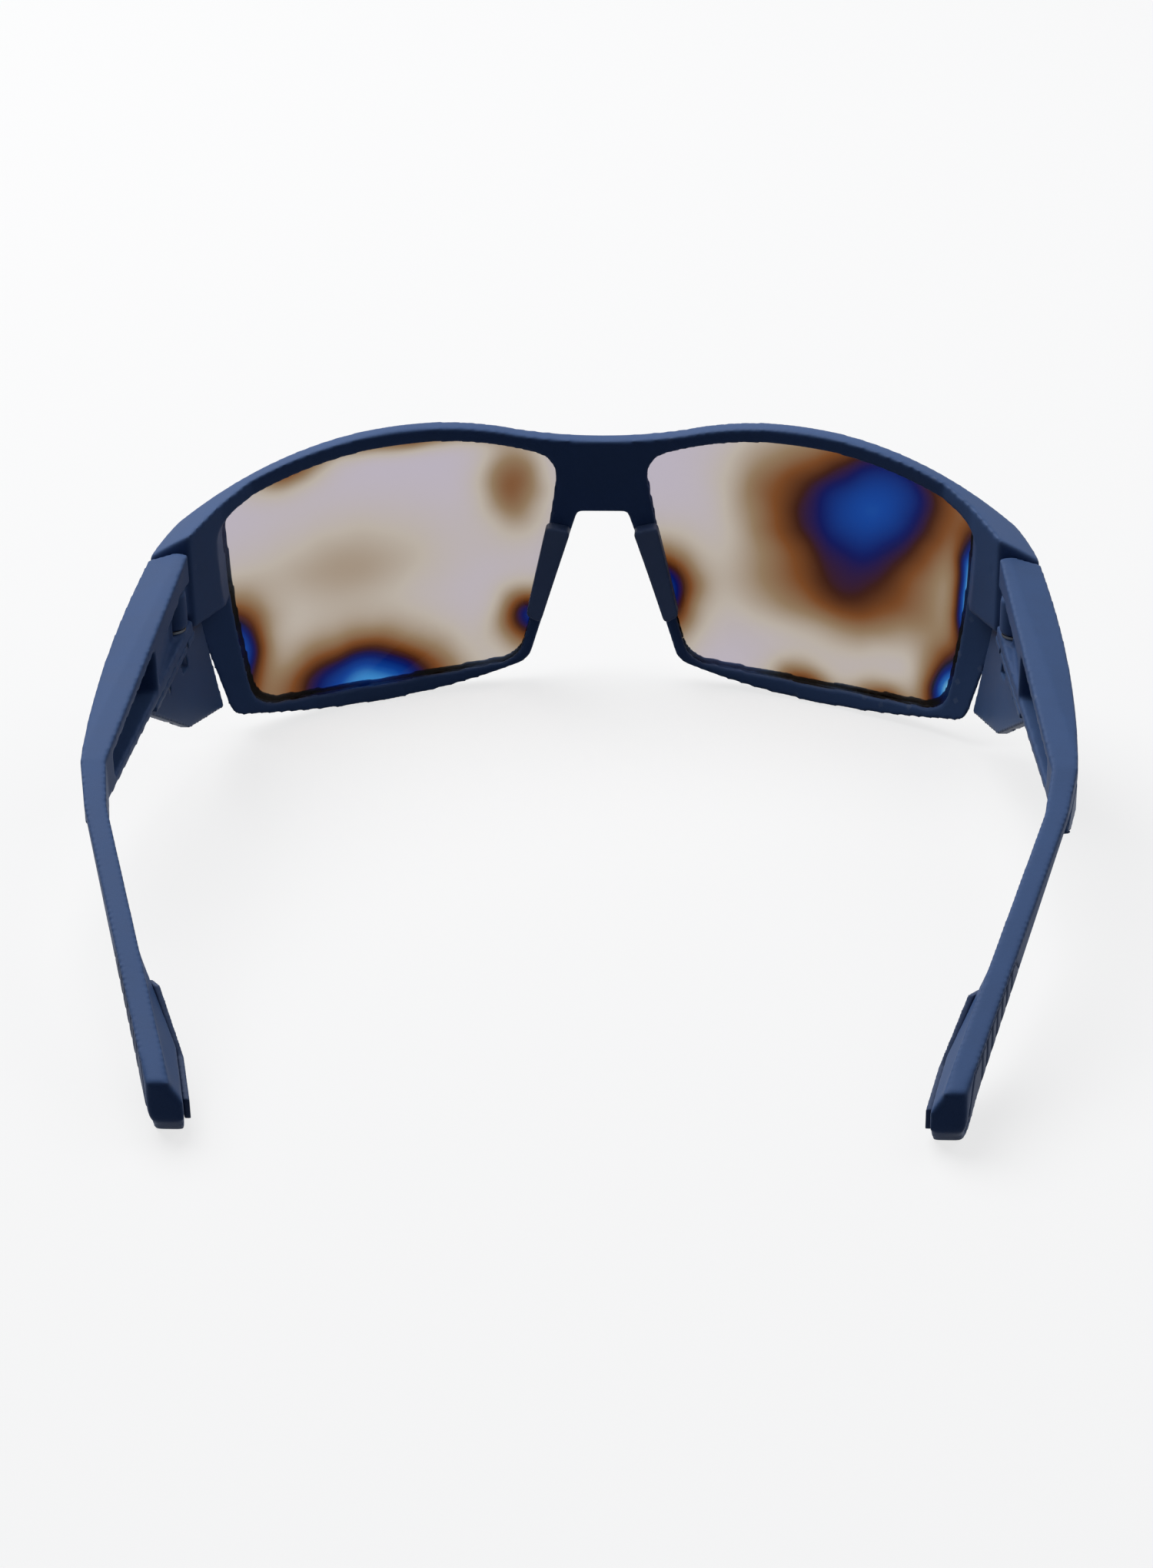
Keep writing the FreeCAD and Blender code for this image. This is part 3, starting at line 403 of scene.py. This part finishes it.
@dataclass(frozen=True)
class StrainedLens:
    """Tinted polarised lens that shows bands of colour round the strained places in the plastic."""

    name: str
    strains: tuple[Strain, ...]
    drift: float = 0.03

    def build(self, nose: Vector, size: Vector) -> bpy.types.Material:
        """Make the material.

        Args:
            nose: The lens box's bottom corner on the nose side.
            size: From that corner to the top corner on the temple side.

        Returns:
            The material.
        """
        material = bpy.data.materials.new(self.name)
        material.use_nodes = True
        net = NodeTree(material.node_tree)
        shader = material.node_tree.nodes["Principled BSDF"]
        place = net.add("ShaderNodeTexCoord").outputs["Object"]
        from_nose = net.add("ShaderNodeVectorMath", operation="SUBTRACT")
        net.link(place, from_nose.inputs[0])
        from_nose.inputs[1].default_value = nose
        share = net.add("ShaderNodeVectorMath", operation="DIVIDE")
        net.link(from_nose.outputs[0], share.inputs[0])
        share.inputs[1].default_value = size
        waves = net.add("ShaderNodeTexNoise")
        waves.inputs["Scale"].default_value = DRIFT_SCALE
        waves.inputs["Detail"].default_value = 1.0
        net.link(place, waves.inputs["Vector"])
        centred = net.add("ShaderNodeVectorMath", operation="SUBTRACT")
        net.link(waves.outputs["Color"], centred.inputs[0])
        centred.inputs[1].default_value = (0.5, 0.5, 0.5)
        swing = net.add("ShaderNodeVectorMath", operation="SCALE")
        net.link(centred.outputs[0], swing.inputs[0])
        swing.inputs["Scale"].default_value = self.drift * 2.0
        point = net.add("ShaderNodeVectorMath", operation="ADD")
        net.link(share.outputs[0], point.inputs[0])
        net.link(swing.outputs[0], point.inputs[1])
        total = None
        for strain in self.strains:
            layer = net.add("ShaderNodeGroup")
            layer.node_tree = strain_centre()
            if total:
                net.link(total, layer.inputs["Before"])
            net.link(point.outputs[0], layer.inputs["Point"])
            layer.inputs["Centre"].default_value = (strain.across, 0.0, strain.up)
            layer.inputs["Reach"].default_value = (strain.wide, 1.0, strain.tall)
            layer.inputs["Turn"].default_value = math.radians(strain.turn)
            layer.inputs["Strength"].default_value = strain.strength
            total = layer.outputs["Strain"]
        series = [(step, linear(*colour)) for step, colour in STRAIN_SERIES]
        net.link(net.ramp(total, series), shader.inputs["Base Color"])
        smear = net.add("ShaderNodeTexNoise")
        smear.inputs["Scale"].default_value = SMEAR_SCALE
        net.link(place, smear.inputs["Vector"])
        net.link(net.math("MULTIPLY", smear.outputs["Fac"], SMEAR_ROUGHNESS), shader.inputs["Roughness"])
        shader.inputs["Transmission Weight"].default_value = 1.0
        shader.inputs["IOR"].default_value = LENS_IOR
        return material


@dataclass(frozen=True)
class TurnedMetal:
    """Small turned metal with fine lathe lines and a dulled surface."""

    name: str
    colour: tuple[float, float, float]
    roughness: float

    def build(self) -> bpy.types.Material:
        """Make the material.

        Returns:
            The material.
        """
        found = bpy.data.materials.get(self.name)
        if found:
            return found
        material = bpy.data.materials.new(self.name)
        material.use_nodes = True
        net = NodeTree(material.node_tree)
        shader = material.node_tree.nodes["Principled BSDF"]
        place = net.add("ShaderNodeTexCoord").outputs["Object"]
        stretch = net.add("ShaderNodeMapping")
        stretch.inputs["Scale"].default_value = LATHE_STRETCH
        net.link(place, stretch.inputs["Vector"])
        lines = net.add("ShaderNodeTexNoise")
        lines.inputs["Scale"].default_value = LATHE_SCALE
        net.link(stretch.outputs[0], lines.inputs["Vector"])
        dull = tuple(value * DULL_SHARE for value in self.colour)
        colour = net.mix(lines.outputs["Fac"], (*dull, 1.0), (*self.colour, 1.0))
        net.link(colour, shader.inputs["Base Color"])
        rough = net.math("ADD", net.math("MULTIPLY", lines.outputs["Fac"], LATHE_ROUGHNESS), self.roughness)
        net.link(rough, shader.inputs["Roughness"])
        shader.inputs["Metallic"].default_value = 1.0
        return material


NAVY = MouldedPlastic("navy_moulding", linear(66, 90, 132), linear(112, 128, 158), roughness=0.52, wear=0.35)
SHIELD_NAVY = MouldedPlastic("navy_shield", linear(66, 92, 134), linear(98, 116, 146), roughness=0.42)
PAD_RUBBER = MouldedPlastic("navy_pad_rubber", linear(52, 70, 104), linear(58, 70, 96), roughness=0.6,
                            wear=0.2, specks=0.3, bump=0.35, specular=0.3)
GRIP_RUBBER = MouldedPlastic("blue_grip_rubber", linear(60, 76, 108), linear(90, 104, 132), roughness=0.6,
                             wear=0.25, specks=0.5, bump=0.35, specular=0.2)
DARK_STEEL = TurnedMetal("dark_steel", (0.10, 0.11, 0.13), 0.35)
BRASS = TurnedMetal("dull_brass", (0.30, 0.22, 0.11), 0.4)

LEFT_LENS = StrainedLens("lens_tint_left", (
    Strain(0.65, 0.5, 0.3, 0.2, 0.2),
    Strain(0.4, 1.0, 0.35, 0.06, 0.4),
    Strain(0.8, 0.95, 0.1, 0.1, 0.4),
    Strain(0.15, 0.75, 0.1, 0.2, 0.35),
    Strain(0.6, 0.0, 0.25, 0.2, 0.8, 10.0),
    Strain(0.1, 0.2, 0.1, 0.12, 0.6),
    Strain(1.0, 0.25, 0.1, 0.2, 0.9),
))
RIGHT_LENS = StrainedLens("lens_tint_right", (
    Strain(0.7, 0.75, 0.25, 0.4, 0.7, -20.0),
    Strain(0.4, 0.75, 0.15, 0.25, 0.2),
    Strain(0.65, 0.35, 0.4, 0.15, 0.2),
    Strain(0.05, 0.3, 0.12, 0.2, 0.65),
    Strain(0.5, 0.0, 0.1, 0.08, 0.5),
    Strain(0.75, 0.0, 0.1, 0.08, 0.5),
    Strain(1.0, 0.5, 0.05, 0.25, 0.9),
    Strain(0.95, 0.1, 0.08, 0.15, 0.9),
))


@dataclass
class Stage:
    """Pale floor, soft lamps and the camera."""

    eye: tuple[float, float, float] = (-0.02635, 0.44948, 0.24499)
    yaw: float = 3.458
    pitch: float = 27.0
    roll: float = -1.072
    focal_length: float = 76.6375
    floor_lit: tuple[float, float, float] = (0.055, 0.065, 0.085)
    floor_seen: tuple[float, float, float] = (0.20, 0.20, 0.20)
    floor_glow: tuple[float, float, float] = (0.755, 0.755, 0.755)
    world_lit: tuple[float, float, float] = (0.045, 0.055, 0.08)
    world_seen: tuple[float, float, float] = (0.92, 0.92, 0.92)

    def build(self) -> None:
        """Make the floor, the world, the lamps and the camera."""
        self.make_floor()
        self.make_world()
        self.make_lamps()
        self.make_camera()

    def backdrop_share(self, net: NodeTree) -> bpy.types.NodeSocket:
        """Tell the rays that see the backdrop from those that only light the object.

        Args:
            net: The tree to add to.

        Returns:
            A mask that is 1 for rays from the camera, a reflection or clear glass.
        """
        path = net.add("ShaderNodeLightPath")
        seen = net.math("MAXIMUM", path.outputs["Is Camera Ray"], path.outputs["Is Glossy Ray"])
        return net.math("MAXIMUM", seen, path.outputs["Is Transmission Ray"])

    def make_floor(self) -> None:
        """Lay a wide pale floor that keeps the soft shadow."""
        bpy.ops.mesh.primitive_plane_add(size=6.0, location=(0.0, 0.0, 0.0))
        floor = bpy.context.active_object
        floor.name = "floor"
        material = bpy.data.materials.new("floor_pale")
        material.use_nodes = True
        net = NodeTree(material.node_tree)
        shader = material.node_tree.nodes["Principled BSDF"]
        shader.inputs["Roughness"].default_value = 1.0
        shader.inputs["Specular IOR Level"].default_value = 0.0
        seen = self.backdrop_share(net)
        colour = net.mix(seen, (*self.floor_lit, 1.0), (*self.floor_seen, 1.0))
        net.link(colour, shader.inputs["Base Color"])
        glow = net.mix(seen, (0.0, 0.0, 0.0, 1.0), (*self.floor_glow, 1.0))
        net.link(glow, shader.inputs["Emission Color"])
        shader.inputs["Emission Strength"].default_value = 1.0
        floor.data.materials.append(material)

    def make_world(self) -> None:
        """Dim light all round, shown pale to the camera and in reflections."""
        world = bpy.data.worlds.new("studio")
        bpy.context.scene.world = world
        world.use_nodes = True
        net = NodeTree(world.node_tree)
        background = world.node_tree.nodes["Background"]
        background.inputs["Strength"].default_value = 1.0
        colour = net.mix(self.backdrop_share(net), (*self.world_lit, 1.0), (*self.world_seen, 1.0))
        net.link(colour, background.inputs["Color"])

    def make_lamps(self) -> None:
        """Hang one large soft lamp above and beyond the front and a weak one beside it, aimed at the origin."""
        for name, place, size, power in (("lamp_top", (0.42, -0.48, 1.02), 1.2, 15.0),
                                         ("lamp_side", (-0.7, -0.3, 0.9), 0.8, 2.0)):
            data = bpy.data.lights.new(name, "AREA")
            data.shape = "DISK"
            data.size = size
            data.energy = power
            lamp = bpy.data.objects.new(name, data)
            bpy.context.scene.collection.objects.link(lamp)
            lamp.location = place
            lamp.rotation_euler = (-Vector(place)).to_track_quat("-Z", "Y").to_euler()

    def make_camera(self) -> None:
        """Place the camera behind and above, looking at the inner side of the lenses."""
        yaw, pitch, roll = (math.radians(value) for value in (self.yaw, self.pitch, self.roll))
        look = Vector((math.sin(yaw) * math.cos(pitch), -math.cos(yaw) * math.cos(pitch), -math.sin(pitch)))
        right = look.cross(Vector((0.0, 0.0, 1.0))).normalized()
        up = right.cross(look)
        turned_right = math.cos(roll) * right + math.sin(roll) * up
        turned_up = -math.sin(roll) * right + math.cos(roll) * up
        data = bpy.data.cameras.new("camera")
        data.sensor_width = SENSOR_WIDTH
        data.lens = self.focal_length
        data.clip_start = 0.01
        camera = bpy.data.objects.new("camera", data)
        bpy.context.scene.collection.objects.link(camera)
        turn = Matrix((turned_right, turned_up, -look)).transposed().to_4x4()
        camera.matrix_world = Matrix.Translation(Vector(self.eye)) @ turn
        bpy.context.scene.camera = camera


def work_copy(node: str, name: str) -> bpy.types.Object:
    """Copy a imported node's mesh into a new object with its doubles merged, and select only that.

    Args:
        node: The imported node.
        name: Name of the new piece.

    Returns:
        The new object, active and selected.
    """
    bpy.ops.object.select_all(action="DESELECT")
    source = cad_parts[node]
    piece = bpy.data.objects.new(name, source.data.copy())
    bpy.context.scene.collection.objects.link(piece)
    piece.matrix_world = source.matrix_world.copy()
    piece.data.materials.clear()
    bpy.context.view_layer.objects.active = piece
    piece.select_set(True)
    bpy.ops.object.mode_set(mode="EDIT")
    bpy.ops.mesh.select_all(action="SELECT")
    bpy.ops.mesh.remove_doubles(threshold=0.000001)
    bpy.ops.object.mode_set(mode="OBJECT")
    return piece


@dataclass
class Moulding:
    """A moulded piece whose edges are softened as they leave the mould."""

    node: str
    body: str
    finish: MouldedPlastic
    cell: float
    passes: int
    tip_passes: int = 0

    def build(self) -> bpy.types.Object:
        """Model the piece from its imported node, with rounded edges, and dress it.

        Returns:
            The finished piece.
        """
        piece = work_copy(self.node, self.node + "_moulding")
        bpy.ops.object.modifier_add(type="REMESH")
        remesh = piece.modifiers[-1]
        remesh.mode = "VOXEL"
        remesh.voxel_size = self.cell
        bpy.ops.object.modifier_apply(modifier=remesh.name)
        bpy.ops.object.modifier_add(type="SMOOTH")
        smooth = piece.modifiers[-1]
        smooth.factor = 0.5
        smooth.iterations = self.passes
        bpy.ops.object.modifier_apply(modifier=smooth.name)
        if self.tip_passes:
            self.round_tip(piece)
        bpy.ops.object.shade_smooth()
        piece.data.materials.append(self.finish.build())
        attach(piece, self.body)
        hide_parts(self.node)
        LOG.info("%s: %s, %d faces", piece.name, self.finish.name, len(piece.data.polygons))
        return piece

    def round_tip(self, piece: bpy.types.Object) -> None:
        """Round the rear end further, fading out a few millimetres ahead of it.

        Args:
            piece: The piece, active and selected.
        """
        back = CAD_BOX[1][1]
        ending = piece.vertex_groups.new(name="ending")
        for vertex in piece.data.vertices:
            share = (vertex.co.y - (back - TIP_ROUNDING)) / TIP_ROUNDING
            if share > 0.0:
                ending.add([vertex.index], min(1.0, share * 1.5), "REPLACE")
        bpy.ops.object.modifier_add(type="SMOOTH")
        smooth = piece.modifiers[-1]
        smooth.factor = 0.6
        smooth.iterations = self.tip_passes
        smooth.vertex_group = ending.name
        bpy.ops.object.modifier_apply(modifier=smooth.name)
        piece.vertex_groups.clear()


@dataclass
class LensPane:
    """One curved lens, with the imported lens's own curve shaded smooth."""

    side: Side
    finish: StrainedLens

    def build(self) -> bpy.types.Object:
        """Model the lens and dress it.

        Returns:
            The finished lens.
        """
        node = "lens" + self.side.suffix
        piece = work_copy(node, node + "_pane")
        bpy.ops.object.shade_smooth_by_angle(angle=math.radians(30.0))
        corners = sorted((Vector(corner) for corner in piece.bound_box),
                         key=lambda corner: (abs(corner.x), corner.z))
        nose = corners[0]
        size = corners[-1] - nose
        piece.data.materials.append(self.finish.build(nose, Vector((size.x, 1.0, size.z))))
        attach(piece, "front")
        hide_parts(node)
        LOG.info("%s: %s", piece.name, self.finish.name)
        return piece


@dataclass
class Fitting:
    """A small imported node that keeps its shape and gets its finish."""

    node: str
    finish: TurnedMetal

    def dress(self) -> None:
        """Give the node its finish."""
        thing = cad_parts[self.node]
        thing.data.materials.clear()
        thing.data.materials.append(self.finish.build())
        LOG.info("%s: %s", self.node, self.finish.name)


def main() -> None:
    """Build the stage and dress every piece."""
    logging.basicConfig(level=logging.INFO)
    bpy.context.scene.view_settings.view_transform = "Standard"
    Stage().build()
    Moulding("front_frame", "front", NAVY, cell=0.00038, passes=8).build()
    for side, lens in ((Side.LEFT, LEFT_LENS), (Side.RIGHT, RIGHT_LENS)):
        arm = side.body
        LensPane(side, lens).build()
        Moulding("nose_pad" + side.suffix, "front", PAD_RUBBER, cell=0.00022, passes=8).build()
        Moulding("temple" + side.suffix, arm, NAVY, cell=0.00032, passes=5, tip_passes=22).build()
        Moulding("side_panel" + side.suffix, arm, SHIELD_NAVY, cell=0.00025, passes=2).build()
        Moulding("panel_stud" + side.suffix, arm, SHIELD_NAVY, cell=0.00012, passes=2).build()
        Moulding("tip_grip" + side.suffix, arm, GRIP_RUBBER, cell=0.0002, passes=2).build()
        Moulding("tip_pad" + side.suffix, arm, PAD_RUBBER, cell=0.0002, passes=2).build()
        for stem, finish in (("hinge_screw", DARK_STEEL), ("hinge_washer", DARK_STEEL),
                             ("hinge_insert", BRASS)):
            Fitting(stem + side.suffix, finish).dress()


if __name__ == "__main__":
    main()
